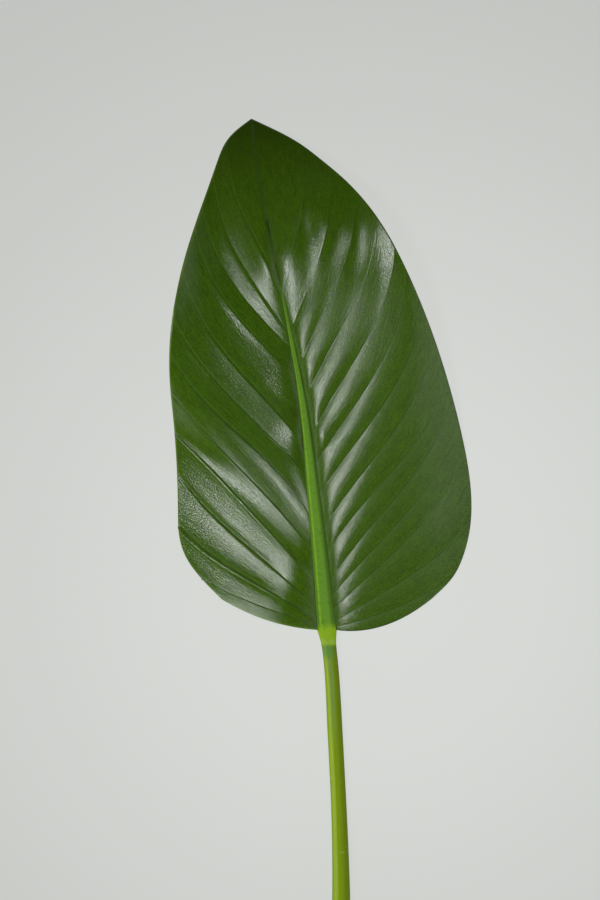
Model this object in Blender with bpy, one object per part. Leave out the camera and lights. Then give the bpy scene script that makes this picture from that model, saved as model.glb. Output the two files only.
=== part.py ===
"""A cut foliage leaf on its stalk, lying on a surface with its upper side up.

All sizes are in millimetres until a mesh is made. +Y runs from the cut end of the stalk to the tip
of the leaf, +X is to the right as seen from above, and z = 0 is the surface that the leaf lies on.
The plan is drawn from the junction of stalk and blade, and the finished leaf is then moved so that
the origin is at the middle of its own bounding box, on that surface.

The blade is two halves, right and left of the midrib. Each half is a family of side veins that leave
the midrib, sweep towards the tip and end on the margin, and it bulges up between them. The stalk, its
joint and the pale midrib are one tapering body, which lies in a long slot between the two halves.
"""
from dataclasses import dataclass

import bmesh
import bpy
import numpy as np

MM = 0.001

# Midrib and stalk: middle line in plan (x, y)
AXIS = ((7.0, -240), (8.4, -165), (6.8, -99), (4.4, -52), (1.9, -15), (0.0, 0), (-3.6, 38), (-8.0, 80),
        (-14.4, 134), (-23.1, 181), (-31.3, 221), (-38.6, 258), (-44.2, 299))
STALK_END = -240.0
BLADE_LENGTH = 299.0
TIP_HEIGHT = 1.5

# Midrib between the blade's halves
RIB_LENGTH = 206.0
SLOT_LENGTH = 216.0
RIB_HALF_WIDTH = 5.7
RIB_TAPER = 0.9
RIB_DEPTH_BASE = 8.0
RIB_DEPTH_END = 1.7
RIB_CROWN = 0.5
RIB_CHANNEL = 0.1
SLOT_CLEARANCE = 0.45
CLEARANCE_FADE = 10.0

# Height of the blade where it meets the midrib (y, z)
KEEL = ((0, 9.2), (45, 10.6), (90, 13.0), (140, 16.2), (180, 18.4), (216, 19.2))

# Stalk sections (y, half width, top, widest level, bottom, depth of the channel along the top)
STALK = ((-240, 6.3, 11.0, 5.4, -0.35, 1.3), (-165, 5.4, 9.9, 4.9, -0.35, 1.2),
         (-99, 4.5, 8.7, 4.3, -0.30, 1.1), (-52, 4.4, 8.4, 4.2, -0.25, 1.0), (-15, 4.2, 8.7, 4.7, 0.1, 0.8),
         (-9, 4.35, 8.9, 5.4, 0.3, 0.5), (-5, 4.8, 9.1, 6.6, 0.5, 0.3), (0, 5.75, 9.7, 8.8, 1.0, 0.1))
STALK_SIDES = 20
SECTION_POWER = 2.3
CHANNEL_REACH = 0.45
STALK_STEP = 12
JOINT_STEP = 2.5
RIB_STEP = 9
JOINT_SPAN = (-20, 12)

# Blade sheet
THICKNESS = 0.8
CREST_THICKNESS = 2.0
CREST_REACH = 2.5
CREST_FADE = 60.0
CELLS_ALONG_VEIN = 14
VEIN_HANDLE = 0.36
PANEL_BULGE = 0.06
BULGE_START = 0.05
BULGE_END_POWER = 3
SECOND_REACH = 0.18
SWELL_START = 4.0

# Places of the curves from one vein to the next, closer before the sharp creases
PANEL_STEPS = (0.0, 0.3, 0.6, 0.85)

# Broad swells and dips of the blade (x, y, reach in x, reach in y, height)
SWELLS = ((-12, 112, 11, 11, 2.8), (-19, 144, 12, 14, 1.3), (-56, 203, 18, 20, -0.8),
          (-28, 213, 14, 15, 2.8), (-5, 240, 20, 25, 7.0), (-20, 22, 14, 18, 1.8),
          (-12, 235, 7, 12, -1.5), (34, 232, 16, 16, 1.6))


@dataclass(frozen=True)
class Half:
    """One half of the blade.

    side is +1 to the right and -1 to the left. margin holds points (x, y) of the edge from the lower
    corner to the tip. veins holds, for each side vein, y where it leaves the midrib and y where it
    ends on the margin. leave and arrive hold (vein number, heading in degrees from +Y). edge holds the
    height of the margin as (y, z). rise holds (vein number, slope along the vein beside the midrib).
    wall holds (y, rise, reach) of the wall beside the midrib. panels holds, for each panel between two
    veins, its height as a factor, the reach of that height from the midrib, the place of its highest line
    from vein to vein, the power of the rise up to it, where 0 is round, and the factor and place along
    the vein of a second bulge.
    """
    side: int
    margin: tuple
    veins: tuple
    leave: tuple
    arrive: tuple
    edge: tuple
    rise: tuple
    wall: tuple
    panels: tuple


RIGHT = Half(
    side=1,
    margin=((61.4, 18), (72.8, 29.3), (79.2, 41), (84.8, 70), (79.8, 110), (66.6, 157), (47.8, 204),
            (28.5, 239), (9.3, 262.3), (-4.1, 274.4), (-19.8, 286.4), (-44.2, 299)),
    veins=((0, 18), (1.5, 33), (4.5, 61), (12, 102), (19.5, 118), (28, 136), (44, 147), (59, 170), (79, 188),
           (97, 207), (113, 222), (134, 239), (152, 255), (174, 269), (195, 284), (216, 299)),
    leave=((0, 97), (1, 74), (2, 56), (3, 46), (4, 38), (5, 31), (6, 29), (8, 33), (9, 34), (10, 26),
           (12, 18), (13, 20), (14, 13), (15, -12)),
    arrive=((0, 52), (1, 52), (2, 42), (3, 25), (4, 21), (5, 14), (6, 14), (7, 9), (9, 4), (11, 1), (12, -5),
            (13, -7), (14, -18), (15, -4)),
    edge=((18, 4.6), (38, 2.6), (60, 1.8), (78, 0.57), (98, 2.1), (130, 7.5), (165, 16.5), (190, 23.5),
          (210, 27.3), (226, 28.2), (238, 26.8), (250, 23.0), (262, 17.5), (274, 11.5), (285, 6.5),
          (299, TIP_HEIGHT)),
    rise=((0, -0.02), (2, 0.05), (7, 0.15), (12, 0.14), (13, 0.10), (14, 0.05), (15, -0.07)),
    wall=((0, 2.8, 6.0), (20, 2.5, 4.0), (40, 2.4, 2.4), (160, 2.2, 2.2), (190, 0.4, 2.2),
          (SLOT_LENGTH, 0.0, 2.2)),
    panels=((0.6, 0.2, 0.5, 0, 0, 0), (0.6, 0.2, 0.5, 0, 0, 0), (0.8, 0.25, 0.5, 0, 0.2, 0.6),
            (0.5, 0.25, 0.5, 0, 0.2, 0.6), (1.3, 0.3, 0.45, 0, 0.2, 0.6), (1.3, 0.32, 0.5, 0, 0.2, 0.6),
            (1.5, 0.35, 0.4, 0, 0.2, 0.7), (1.4, 0.35, 0.5, 0, 0.2, 0.7), (1.5, 0.42, 0.5, 0, 0, 0),
            (1.5, 0.42, 0.45, 0, -0.4, 0.9), (1.5, 0.45, 0.45, 0, -1.0, 0.85), (1.2, 0.4, 0.5, 0, -1.1, 0.73),
            (1.2, 0.35, 0.5, 0, -1.2, 0.6), (0.5, 0.3, 0.5, 0, -0.8, 0.46), (0.2, 0.3, 0.5, 0, 0, 0)),
)
LEFT = Half(
    side=-1,
    margin=((-61.4, 18), (-81.6, 41), (-87.2, 70), (-89.5, 120), (-91.3, 151), (-89.1, 181), (-82.1, 215.5),
            (-71.6, 250.5), (-63.6, 274.6), (-54.8, 290.4), (-44.2, 299)),
    veins=((0, 18), (2, 30), (4.5, 61), (12, 92), (30, 115), (46.5, 137), (67, 160), (91, 179), (108, 208),
           (148, 233), (163, 244), (172, 264), (199, 284), (216, 299)),
    leave=((0, -84), (1, -68), (2, -52), (3, -42), (4, -44), (5, -37), (6, -29), (7, -42), (8, -37), (9, -47),
           (10, -44), (11, -34), (12, -27), (13, -12)),
    arrive=((0, -60), (1, -60), (2, -43), (3, -35), (4, -48), (5, -40), (6, -28), (7, -29), (8, -13),
            (9, -10), (10, -12), (11, -6), (12, 0), (13, -4)),
    edge=((18, 10.0), (30, 7.5), (41, 5.9), (62, 3.15), (86, 0.78), (108, 2.0), (118, 3.8), (128, 7.9),
          (138, 14.0), (150, 20.0), (165, 25.0), (185, 27.0), (200, 26.0), (215, 23.4), (230, 18.8),
          (245, 13.6), (262, 8.8), (275, 6.0), (289, 3.2), (299, TIP_HEIGHT)),
    rise=((0, 0.07), (1, 0.05), (2, 0.0), (3, -0.08), (4, -0.08), (5, -0.14), (6, -0.18), (7, -0.01),
          (8, 0.09), (9, 0.10), (10, -0.02), (11, 0.01), (12, 0.06), (13, -0.07)),
    wall=((0, 5.0, 12.0), (30, 5.6, 13.0), (60, 2.0, 7.0), (120, 0.6, 3.0), (140, 1.0, 6.0), (156, 2.2, 9.0),
          (167, 1.6, 8.0), (186, 0.5, 5.0), (SLOT_LENGTH, 0.0, 3.0)),
    panels=((0.9, 1.4, 0.95, 1.7, 0, 0), (2.8, 1.2, 0.92, 2, 0, 0), (1.6, 0.9, 0.93, 2, 0, 0),
            (1.2, 1.5, 0.93, 1.6, 0, 0), (1.7, 0.8, 0.97, 2, 0, 0), (1.6, 0.65, 0.97, 4, 0, 0),
            (0.6, 0.7, 0.95, 4, 0, 0), (0.3, 0.8, 0.95, 3, 0, 0), (0.12, 0.9, 0.97, 4, 0, 0),
            (0.4, 0.6, 0.9, 3, 0, 0), (1.6, 0.6, 0.7, 1.3, 0, 0), (0.8, 0.5, 0.84, 1.5, 0, 0),
            (0.4, 0.5, 0.5, 0, 0, 0)),
)


def spline(points, at, column=1, key=0):
    """Natural cubic spline through the points' column, as a function of their key column."""
    rows = np.array(sorted(points, key=lambda row: row[key]), float)
    knots, values = rows[:, key], rows[:, column]
    steps, count = np.diff(knots), len(knots)
    system, bends = np.eye(count), np.zeros(count)
    for i in range(1, count - 1):
        system[i, i - 1:i + 2] = steps[i - 1], 2 * (steps[i - 1] + steps[i]), steps[i]
    bends[1:-1] = 6 * np.diff(np.diff(values) / steps)
    bends = np.linalg.solve(system, bends)
    i = np.clip(np.searchsorted(knots, at) - 1, 0, count - 2)
    before, after, step = at - knots[i], knots[i + 1] - at, steps[i]
    cubic = (bends[i] * after ** 3 + bends[i + 1] * before ** 3) / (6 * step)
    return cubic + (values[i] / step - bends[i] * step / 6) * after \
        + (values[i + 1] / step - bends[i + 1] * step / 6) * before


def axis_x(y):
    """Sideways place of the midrib and stalk at y."""
    return spline(AXIS, y, column=0, key=1)


def rib_half_width(y):
    """Half the width of the midrib, a taper that ends where the slot closes."""
    return RIB_HALF_WIDTH * np.clip(1 - y / SLOT_LENGTH, 0, 1) ** RIB_TAPER


def slot_half_width(y):
    """Half the width of the slot: the midrib's, plus a clearance that fades at the slot's end."""
    return rib_half_width(y) + SLOT_CLEARANCE * np.clip((SLOT_LENGTH - y) / CLEARANCE_FADE, 0, 1)


def vein_numbers(half):
    """Vein number of each curve of the family, whole on the veins themselves."""
    panels = np.arange(len(half.veins) - 1)[:, None] + np.array(PANEL_STEPS)
    return np.append(panels.ravel(), len(half.veins) - 1)


def vein_plan(half, number):
    """Plan of one half as an array [along the margin, along the vein, xy].

    Each vein is a Bezier curve with its two headings. Curves between two veins take ends and headings
    that run evenly from one vein to the next.
    """
    numbers = np.arange(len(half.veins))
    leave_y, arrive_y = (np.interp(number, numbers, ends) for ends in np.array(half.veins, float).T)
    leave, arrive = (np.radians(np.interp(number, *zip(*rows))) for rows in (half.leave, half.arrive))
    start = np.stack([axis_x(leave_y) + half.side * slot_half_width(leave_y), leave_y], -1)
    end = np.stack([spline(half.margin, arrive_y, column=0, key=1), arrive_y], -1)
    reach = VEIN_HANDLE * np.linalg.norm(end - start, axis=1)[:, None]
    near = start + reach * np.stack([np.sin(leave), np.cos(leave)], -1)
    far = end - reach * np.stack([np.sin(arrive), np.cos(arrive)], -1)
    t = np.linspace(0, 1, CELLS_ALONG_VEIN + 1)[None, :, None]
    start, near, far, end = (point[:, None, :] for point in (start, near, far, end))
    return (1 - t) ** 3 * start + 3 * (1 - t) ** 2 * t * near + 3 * (1 - t) * t ** 2 * far + t ** 3 * end


def panel_widths(half, number):
    """Distance between the two veins of a panel, across them, for each curve and step."""
    veins = vein_plan(half, np.arange(len(half.veins)))
    run = np.gradient(veins, axis=1)
    run /= np.linalg.norm(run, axis=2, keepdims=True)
    gap = np.diff(veins, axis=0)
    width = np.abs(gap[..., 0] * run[:-1, :, 1] - gap[..., 1] * run[:-1, :, 0])
    return width[np.minimum(number.astype(int), len(width) - 1)]


def panel_profile(across, peak, power):
    """Height from vein to vein: a rise to the highest line and a parabola down from it.

    The rise is a power of the way to the highest line, or at power 0 a parabola that rounds off there.
    """
    up, down = across / peak, (across - peak) / (1 - peak)
    rise = np.where(power == 0, 1 - (1 - up) ** 2, up ** np.maximum(power, 1))
    return np.where(across < peak, rise, 1 - down ** 2)


def swell_heights(plan):
    """Height of the broad swells and dips, each a bell over its own ellipse."""
    total = np.zeros(plan.shape[:2])
    for x, y, reach_x, reach_y, height in SWELLS:
        away = ((plan[..., 0] - x) / reach_x) ** 2 + ((plan[..., 1] - y) / reach_y) ** 2
        total += height * np.exp(-away)
    return total


def blade_heights(half, plan, number):
    """Height of the upper side.

    Along each vein it rises from the keel with its own slope and turns over to the margin's height.
    The walls beside the midrib, the bulges from vein to vein, whose height is a set share of their gap,
    and the broad swells are added to that.
    """
    start, end = plan[:, :1], plan[:, -1:]
    t = np.linspace(0, 1, plan.shape[1])[None, :]
    keel = spline(KEEL, start[..., 1])
    margin = spline(half.edge, end[..., 1])
    slope = np.interp(number, *zip(*half.rise))[:, None]
    length = np.linalg.norm(end - start, axis=2)
    arch = keel + slope * length * t * (1 - t) + (margin - keel) * t ** 2
    beside = np.abs(plan[..., 0] - axis_x(plan[..., 1])) - slot_half_width(plan[..., 1])
    beside = np.maximum(beside, 0)
    wall_rise, wall_reach = (np.interp(start[..., 1], *zip(*pairs)) for pairs in
                             ([row[:2] for row in half.wall], [row[::2] for row in half.wall]))
    wall = wall_rise * (1 - np.exp(-beside / wall_reach)) * (1 - t ** 2)
    across = (number % 1)[:, None]
    panel = np.minimum(number.astype(int), len(half.panels) - 1)
    factor, reach, peak, power, outer, place = np.array(half.panels, float)[panel].T[:, :, None]
    fade = (1 - np.exp(-t / BULGE_START)) * factor * np.exp(-(t / reach) ** BULGE_END_POWER) \
        + outer * np.exp(-((t - place) / SECOND_REACH) ** 2)
    dome = panel_profile(across, peak, power) * panel_widths(half, number)
    return arch + wall + PANEL_BULGE * fade * dome + swell_heights(plan) * (1 - np.exp(-beside / SWELL_START))


def crest_weight(plan):
    """Share of the extra thickness that carries the midrib on under the fold, beyond the slot."""
    x, y = plan[..., 0], plan[..., 1]
    beyond = np.clip((y - SLOT_LENGTH) / CLEARANCE_FADE, 0, 1)
    before_tip = np.clip((BLADE_LENGTH - y) / CREST_FADE, 0, 1)
    return beyond * before_tip * np.exp(-((x - axis_x(y)) / CREST_REACH) ** 2)


def grid_faces(rows, columns, flip):
    """Quads of a grid of rows times columns, wound so that they face up."""
    corner = np.arange(rows * columns).reshape(rows, columns)
    quads = np.stack([corner[:-1, :-1], corner[:-1, 1:], corner[1:, 1:], corner[1:, :-1]], -1)
    quads = quads.reshape(-1, 4)
    return quads[:, ::-1] if flip else quads


def material(name, colour, roughness):
    """A plain Principled material."""
    made = bpy.data.materials.new(name)
    made.use_nodes = True
    shader = made.node_tree.nodes["Principled BSDF"]
    shader.inputs["Base Color"].default_value = (*colour, 1)
    shader.inputs["Roughness"].default_value = roughness
    shader.inputs["Metallic"].default_value = 0
    return made


def add_object(name, points, faces, finish):
    """An object with its mesh in metres."""
    mesh = bpy.data.meshes.new(name)
    mesh.from_pydata((np.asarray(points) * MM).tolist(), [], [list(map(int, face)) for face in faces])
    mesh.materials.append(finish)
    mesh.shade_smooth()
    made = bpy.data.objects.new(name, mesh)
    bpy.context.scene.collection.objects.link(made)
    return made


def make_blade(finish):
    """Both halves, joined along the fold beyond the slot, split into triangles and thickened."""
    points, faces, weights = [], [], []
    for half in (RIGHT, LEFT):
        number = vein_numbers(half)
        plan = vein_plan(half, number)
        height = blade_heights(half, plan, number)
        first = sum(map(len, points))
        points.append(np.dstack([plan, height]).reshape(-1, 3))
        weights.append(crest_weight(plan).ravel())
        faces.append(grid_faces(*height.shape, flip=half.side < 0) + first)
    blade = add_object("blade", np.vstack(points), np.vstack(faces), finish)
    crest = blade.vertex_groups.new(name="thickness")
    least = THICKNESS / CREST_THICKNESS
    for index, weight in enumerate(np.concatenate(weights)):
        crest.add([index], float(least + (1 - least) * weight), "REPLACE")
    shape = bmesh.new()
    shape.from_mesh(blade.data)
    bmesh.ops.remove_doubles(shape, verts=shape.verts, dist=0.01 * MM)
    bmesh.ops.triangulate(shape, faces=shape.faces, quad_method="SHORT_EDGE")
    shape.to_mesh(blade.data)
    shape.free()
    wall = blade.modifiers.new("wall", "SOLIDIFY")
    wall.thickness = CREST_THICKNESS * MM
    wall.offset = -1
    wall.vertex_group = crest.name
    return blade


def stalk_stations():
    """Places of the sections along the stalk and midrib, close together at the joint."""
    low, high = JOINT_SPAN
    return np.concatenate([np.arange(STALK_END, low, STALK_STEP), np.arange(low, high, JOINT_STEP),
                           np.arange(high, RIB_LENGTH, RIB_STEP), [RIB_LENGTH]])


def stalk_profile(y):
    """Half width, top, widest level, bottom and channel depth at y, for the stalk and for the midrib."""
    stalk = [spline(STALK, y, column=column) for column in range(1, 6)]
    keel = spline(KEEL, y)
    depth = RIB_DEPTH_END + (RIB_DEPTH_BASE - RIB_DEPTH_END) * (1 - y / RIB_LENGTH)
    rib = [rib_half_width(y), keel + RIB_CROWN, keel - THICKNESS / 2, keel - depth,
           RIB_CHANNEL * np.ones_like(y)]
    return [np.where(y < 0, one, other) for one, other in zip(stalk, rib)]


def make_stalk(finish):
    """Stalk, joint and midrib: upright sections along the axis, cut square at the lower end.

    A section is a rounded oval, wider at its widest level, with a shallow channel along its top. Where
    it would reach below the surface that the leaf lies on, it is flat.
    """
    y = stalk_stations()[:, None]
    half_width, top, widest, bottom, channel = stalk_profile(y)
    turn = 2 * np.pi * np.arange(STALK_SIDES) / STALK_SIDES
    across = np.sign(np.cos(turn)) * np.abs(np.cos(turn)) ** (2 / SECTION_POWER)
    upward = np.sign(np.sin(turn)) * np.abs(np.sin(turn)) ** (2 / SECTION_POWER)
    groove = channel * np.exp(-(across / CHANNEL_REACH) ** 2) * (upward > 0)
    z = widest + np.where(upward > 0, top - widest, widest - bottom) * upward - groove
    x = axis_x(y) + half_width * across
    points = np.dstack([x, np.broadcast_to(y, x.shape), np.maximum(z, 0)])
    ring = np.arange(points.shape[0] * STALK_SIDES).reshape(-1, STALK_SIDES)
    turned = np.roll(ring, -1, axis=1)
    sides = np.stack([ring[:-1], ring[1:], turned[1:], turned[:-1]], -1).reshape(-1, 4)
    faces = [*sides, ring[0], ring[-1][::-1]]
    stalk = add_object("petiole_midrib", points.reshape(-1, 3), faces, finish)
    shape = bmesh.new()
    shape.from_mesh(stalk.data)
    bmesh.ops.triangulate(shape, faces=[face for face in shape.faces if len(face.verts) == 4])
    shape.to_mesh(stalk.data)
    shape.free()
    return stalk


def centre_on_surface(objects):
    """Move the meshes so that the origin is at the middle of the whole leaf, on the surface."""
    bpy.context.view_layer.update()
    graph = bpy.context.evaluated_depsgraph_get()
    corners = [corner[:] for made in objects for corner in made.evaluated_get(graph).bound_box]
    low, high = np.min(corners, axis=0), np.max(corners, axis=0)
    for made in objects:
        made.location = (-(low[0] + high[0]) / 2, -(low[1] + high[1]) / 2, 0)


def main():
    for old in list(bpy.data.objects):
        bpy.data.objects.remove(old)
    blade = make_blade(material("blade green", (0.055, 0.115, 0.012), 0.42))
    stalk = make_stalk(material("stalk green", (0.18, 0.33, 0.03), 0.45))
    centre_on_surface([blade, stalk])


main()
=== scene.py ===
"""Looks of a cut foliage leaf, laid out as an add-on and run as a script.

The blade is one closed sheet worked out from its own side veins. The stalk and the midrib are one sweep,
and the face that closes the sweep below is the cut end, with a finish of its own. Sizes are in
millimetres from the junction of stalk and blade until a mesh is made, with +Y towards the tip. The frame
says where that junction is.
"""
from dataclasses import dataclass

import bmesh
import bpy
import numpy as np
from bpy.props import FloatProperty, FloatVectorProperty, IntProperty, PointerProperty
from bpy.types import Operator, Panel, PropertyGroup
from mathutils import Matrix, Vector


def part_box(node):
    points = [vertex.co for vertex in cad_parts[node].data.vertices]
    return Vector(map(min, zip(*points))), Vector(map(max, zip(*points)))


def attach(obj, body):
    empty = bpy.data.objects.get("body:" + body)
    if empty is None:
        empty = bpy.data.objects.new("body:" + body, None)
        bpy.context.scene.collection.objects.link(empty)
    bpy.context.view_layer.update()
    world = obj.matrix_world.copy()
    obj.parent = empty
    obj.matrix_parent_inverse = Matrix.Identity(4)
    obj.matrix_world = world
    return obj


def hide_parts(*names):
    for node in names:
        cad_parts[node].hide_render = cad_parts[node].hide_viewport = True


bl_info = {
    "name": "Cut foliage leaf",
    "version": (1, 0, 0),
    "blender": (4, 5, 0),
    "location": "3D View > Sidebar > Leaf",
    "description": "Builds the blade, midrib, stalk and cut end of one foliage leaf, and its stage",
    "category": "Object",
}

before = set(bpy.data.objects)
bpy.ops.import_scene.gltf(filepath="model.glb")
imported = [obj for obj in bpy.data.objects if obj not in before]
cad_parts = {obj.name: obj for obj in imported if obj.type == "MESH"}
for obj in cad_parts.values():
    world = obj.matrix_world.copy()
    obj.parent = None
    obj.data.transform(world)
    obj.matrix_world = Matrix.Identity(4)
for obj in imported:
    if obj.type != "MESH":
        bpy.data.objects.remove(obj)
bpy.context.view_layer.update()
MM = 0.001

# Midrib and stalk: middle line in plan (x, y)
AXIS = ((7.0, -240), (8.4, -165), (6.8, -99), (4.4, -52), (1.9, -15), (0.0, 0), (-3.6, 38), (-8.0, 80),
        (-14.4, 134), (-23.1, 181), (-31.3, 221), (-38.6, 258), (-44.2, 299))
STALK_END = -240.0
BLADE_LENGTH = 299.0
TIP_HEIGHT = 1.5

# Midrib between the blade's halves
RIB_LENGTH = 206.0
SLOT_LENGTH = 216.0
RIB_HALF_WIDTH = 5.7
RIB_TAPER = 0.9
RIB_DEPTH_BASE = 8.0
RIB_DEPTH_END = 1.7
RIB_CROWN = 0.5
RIB_CROWN_WIDTH = 2.0
RIB_CROWN_LEAST = 0.2
RIB_SHOULDER = 0.3
RIB_CHANNEL = 0.1
RIB_TUCK = 0.5
RIB_TIP = 238.0
RIB_TIP_HALF_WIDTH = 0.35
RIB_TIP_TAPER = 40.0

# Fall of the midrib's top beyond the slot, in millimetres for each millimetre
KEEL_FALL = 0.06

# Height of the blade where it meets the midrib (y, z)
KEEL = ((0, 9.2), (45, 10.6), (90, 13.0), (140, 16.2), (180, 18.4), (216, 19.2))

# Stalk sections (y, half width, top, widest level, bottom, depth of the channel along the top)
STALK = ((-240, 6.3, 11.0, 5.4, -0.35, 1.3), (-165, 5.4, 9.9, 4.9, -0.35, 1.2),
         (-99, 4.5, 8.7, 4.3, -0.30, 1.1), (-52, 4.4, 8.4, 4.2, -0.25, 1.0), (-15, 4.2, 8.7, 4.7, 0.1, 0.8),
         (-9, 4.35, 8.9, 5.4, 0.3, 0.5), (-5, 4.8, 9.1, 6.6, 0.5, 0.3), (0, 5.75, 9.7, 8.8, 1.0, 0.1))
SECTION_POWER = 2.3
CHANNEL_REACH = 0.45
SHARP_ANGLE = 60

# Rings of the sweep (from y, to y, how many), closest at the joint, and the points of a ring
RINGS = ((STALK_END, -24, 110), (-24, 12, 60), (12, RIB_TIP, 170))
RING_POINTS = 96

# Blade sheet: veins, and bulges between them
VEIN_HANDLE = 0.36
CELL_CROWDING = 0.6
PANEL_BULGE = 0.06
BULGE_START = 0.05
BULGE_END_POWER = 3
SECOND_REACH = 0.18
SWELL_START = 4.0

# Furrow over a vein: its reach across, how far from the midrib it is whole, the power of its end
FURROW_REACH = 0.5
FURROW_START = 3.0
FURROW_END_POWER = 4

# Folds and creases: growth and fade as shares of the vein, steepness and reach in vein numbers
FOLD_GROWTH = 0.3
FOLD_END = 1.04
FOLD_FADE = 0.08
FOLD_STEEPNESS = 0.12
FOLD_REACH = 0.55
CREASE_GROWTH = 0.15
CREASE_END_POWER = 8

# Crest under the fold beyond the midrib
CREST_THICKNESS = 2.0
CREST_REACH = 2.5
CREST_GROWTH = 10.0
CREST_FADE = 60.0
CREST_LINE = 1.2
CREST_LINE_GROWTH = 20.0

# Steps of thickness, and the distance at which points of the two halves are merged
SHEET_LEVELS = 50
MERGE_DISTANCE = 0.002

# Parts in which a line is taken when distances to it are measured
LINE_PARTS = 24

# Where the tip's darker green starts (partly painted shade), and how the painted shade beside the midrib
# ends
TIP_DARK_START = 150.0
RIB_SHADE_END = 195.0
RIB_SHADE_FADE = 0.1

# Broad swells and dips of the blade (x, y, reach in x, reach in y, height)
SWELLS = ((-12, 112, 11, 11, 2.8), (-19, 144, 12, 14, 1.3), (-56, 203, 18, 20, -0.8),
          (-28, 213, 14, 15, 2.8), (-5, 240, 20, 25, 7.0), (-20, 22, 14, 18, 1.8),
          (-12, 235, 7, 12, -1.5), (34, 232, 16, 16, 1.6))

# Blade: noise (scale, detail, roughness), stretch of the streaks along a vein, reliefs in millimetres,
# least and most roughness, colours of the pattern
STREAK = (11, 4, 0.7)
FINE_STREAK = (30, 2, 0.6)
CLOUD = (28, 3, 0.55)
PATCH = (110, 3, 0.6)
GRAIN = (1100, 2, 0.7)
PEBBLE = (520, 3, 0.65)
STREAK_STRETCH = 0.9
FINE_STRETCH = 0.45
GRAIN_RELIEF = 0.15
FINE_RELIEF = 0.05
STREAK_RELIEF = 0.10
BLADE_ROUGHNESS = (0.12, 0.25)
DEEP_GREEN = (0.036, 0.100, 0.006)
LIGHT_STREAK = (0.130, 0.250, 0.020)
DARK_SPECK = (0.020, 0.050, 0.002)
# Painted shade in the narrow fold over each vein
VEIN_CREASE_SHADE = (0.030, 0.075, 0.003)
# Painted highlight on the flank above each vein
VEIN_FLANK_HIGHLIGHT = (0.105, 0.205, 0.040)
# Painted sheen on the right half, paler towards the upper side of each panel
PAINTED_SHEEN_VEIL = (0.130, 0.215, 0.075)
# Painted shade in the groove beside the midrib
MIDRIB_GROOVE_SHADE = (0.060, 0.140, 0.010)
LEFT_RIM = (0.120, 0.230, 0.015)
RIGHT_LINE = (0.020, 0.045, 0.005)
# Painted shade along the fold beyond the midrib
FOLD_PAINTED_SHADE = (0.020, 0.050, 0.003)

# Underside and edge of the sheet
UNDERSIDE_CLOUD = (60, 3, 0.6)
UNDERSIDE_GRAIN = (900, 2, 0.6)
UNDERSIDE_RELIEF = 0.05
UNDERSIDE_PATCH = (0.070, 0.135, 0.030)
UNDERSIDE_VEIN = (0.165, 0.255, 0.080)
EDGE_CLOUD = (90, 2, 0.5)
EDGE_PALE = (0.120, 0.175, 0.020)
EDGE_DARK = (0.085, 0.130, 0.020)

# Stalk and midrib: lines (scale across, scale along, detail, roughness), the rest as for the blade
STALK_LINES = (9.0, 0.02, 3, 0.6)
STALK_FINE = (26.0, 0.03, 2, 0.6)
STALK_GRAIN = (900, 2, 0.6)
STALK_SPECKS = (260, 1, 0.4)
STALK_MOTTLE = (480, 3, 0.65)
STALK_GRAIN_RELIEF = 0.03
STALK_LINE_RELIEF = 0.2
STALK_ROUGHNESS = (0.40, 0.56)
BROWN_OUTLINE = (0.100, 0.095, 0.008)
# Small pale specks painted as glints
PAINTED_GLINT_SPECK = (0.420, 0.500, 0.200)
# Painted sheen: a bluish band along the middle of the stalk near the blade
PAINTED_SHEEN_BAND = (0.200, 0.370, 0.140)
RIB_LEFT_EDGE = (0.090, 0.200, 0.010)
# Painted highlight on the midrib's lit left side, and painted shade on its right strip
RIB_PAINTED_HIGHLIGHT = (0.260, 0.560, 0.020)
RIB_PAINTED_SHADE_STRIP = (0.070, 0.155, 0.022)
RIB_UPPER = (0.080, 0.170, 0.010)
RIB_END = (0.040, 0.090, 0.004)
RIB_MOTTLE = (0.070, 0.210, 0.006)
JOINT_PALE = (0.430, 0.600, 0.120)
JOINT_BELOW = (0.110, 0.310, 0.070)
JOINT_BROWN = (0.150, 0.110, 0.020)
JOINT_MOTTLE = (0.200, 0.470, 0.012)
STALK_STREAK = (0.110, 0.220, 0.010)

# Cut end
CUT_NOISE = (700, 2, 0.6)
CUT_TISSUE = (0.430, 0.510, 0.190)
CUT_BUNDLES = (0.210, 0.300, 0.060)

# Middle of the picture, and brightest place of the floor
PICTURE_MIDDLE = (-15.7, 104.9, 10.0)
GLOW_MIDDLE = (25, 30, 0)

# In metres: the distances from that place over which the glow fades, and half the floor's side
GLOW_SPAN = (0.02, 0.45)
FLOOR_REACH = 3.0

# Lights in metres and watts (place from the middle of the picture, size, power)
LIGHTS = {"key": ((-0.60, -0.15, 1.50), 0.42, 14), "fill": ((1.50, 0.10, 1.00), 1.4, 5)}

# Camera: height over the middle of the picture in metres, lens and sensor in millimetres
CAMERA_HEIGHT = 1.456
CAMERA_LENS = 100
CAMERA_SENSOR = 36

# Sky: its colour, and the heights, as a share of straight up, between which it turns dark
SKY_WHITE = (1.0, 1.0, 0.98)
SKY_GLOW = (0.15, 0.5)


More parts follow.
